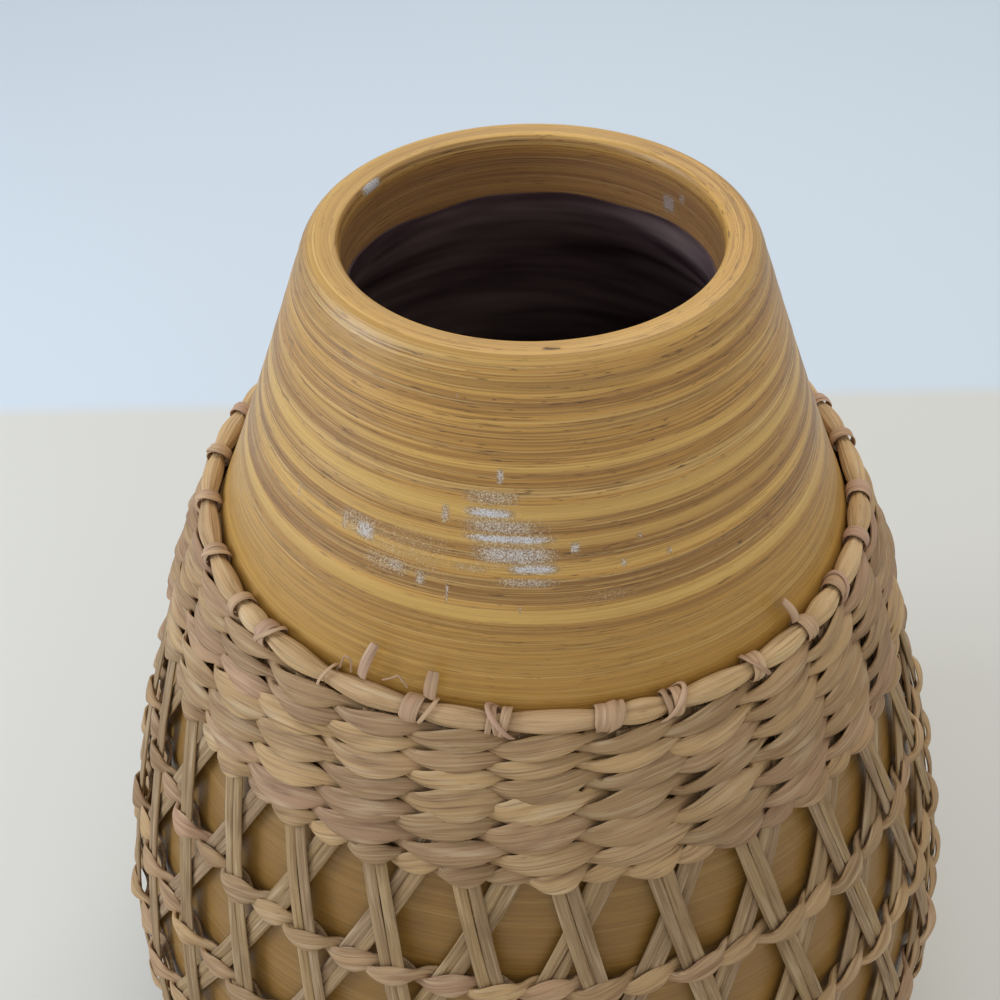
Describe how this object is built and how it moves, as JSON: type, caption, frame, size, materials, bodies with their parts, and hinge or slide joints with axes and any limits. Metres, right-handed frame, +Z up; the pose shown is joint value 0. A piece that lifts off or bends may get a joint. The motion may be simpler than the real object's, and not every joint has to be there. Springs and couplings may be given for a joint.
{
  "type": "bamboo vase",
  "caption": "Spun bamboo flower vase with a conical neck, a full belly and dark lacquer inside, in a woven sleeve of twined rush with an open lattice below a close band.",
  "frame": {"origin": "centre of the flat base, on the surface that the vase stands on", "axes": "+Z up along the axis of the vase, -Y towards the side that the picture shows, +X to its right"},
  "size_m": [0.2544, 0.2544, 0.3],
  "materials": {
    "spun_bamboo": "coiled bamboo strips, turned smooth and clear varnished, satin",
    "dark_lacquer": "brushed dark lacquer, half gloss",
    "woven_rush": "dried flat rush, matte with fine fibres",
    "straw_rush": "round bundle of pale dried rush, low sheen",
    "rush_fibre": "split rush fibre wrapped tight, matte"
  },
  "bodies": {
    "root": {"bamboo_wall": "spun_bamboo", "base_disc": "spun_bamboo", "collar_binders": "rush_fibre", "collar_bundle": "straw_rush", "foot_binders": "rush_fibre", "foot_bundle": "straw_rush", "inner_stakes_left_blades": "woven_rush", "inner_stakes_right_blades": "woven_rush", "lacquer_lining": "dark_lacquer", "lattice_row_1_strand_a": "woven_rush", "lattice_row_1_strand_b": "woven_rush", "lattice_row_2_strand_a": "woven_rush", "lattice_row_2_strand_b": "woven_rush", "lattice_row_3_strand_a": "woven_rush", "lattice_row_3_strand_b": "woven_rush", "lattice_row_4_strand_a": "woven_rush", "lattice_row_4_strand_b": "woven_rush", "lattice_row_5_strand_a": "woven_rush", "lattice_row_5_strand_b": "woven_rush", "lattice_row_6_strand_a": "woven_rush", "lattice_row_6_strand_b": "woven_rush", "loose_ends": "rush_fibre", "lower_row_1_strand_a": "woven_rush", "lower_row_1_strand_b": "woven_rush", "lower_row_2_strand_a": "woven_rush", "lower_row_2_strand_b": "woven_rush", "lower_row_3_strand_a": "woven_rush", "lower_row_3_strand_b": "woven_rush", "lower_row_4_strand_a": "woven_rush", "lower_row_4_strand_b": "woven_rush", "lower_row_5_strand_a": "woven_rush", "lower_row_5_strand_b": "woven_rush", "outer_stakes_left_blades": "woven_rush", "outer_stakes_right_blades": "woven_rush", "upper_row_1_strand_a": "woven_rush", "upper_row_1_strand_b": "woven_rush", "upper_row_2_strand_a": "woven_rush", "upper_row_2_strand_b": "woven_rush", "upper_row_3_strand_a": "woven_rush", "upper_row_3_strand_b": "woven_rush", "upper_row_4_strand_a": "woven_rush", "upper_row_4_strand_b": "woven_rush", "upper_row_5_strand_a": "woven_rush", "upper_row_5_strand_b": "woven_rush", "upper_row_6_strand_a": "woven_rush", "upper_row_6_strand_b": "woven_rush"}
  },
  "joints": []
}
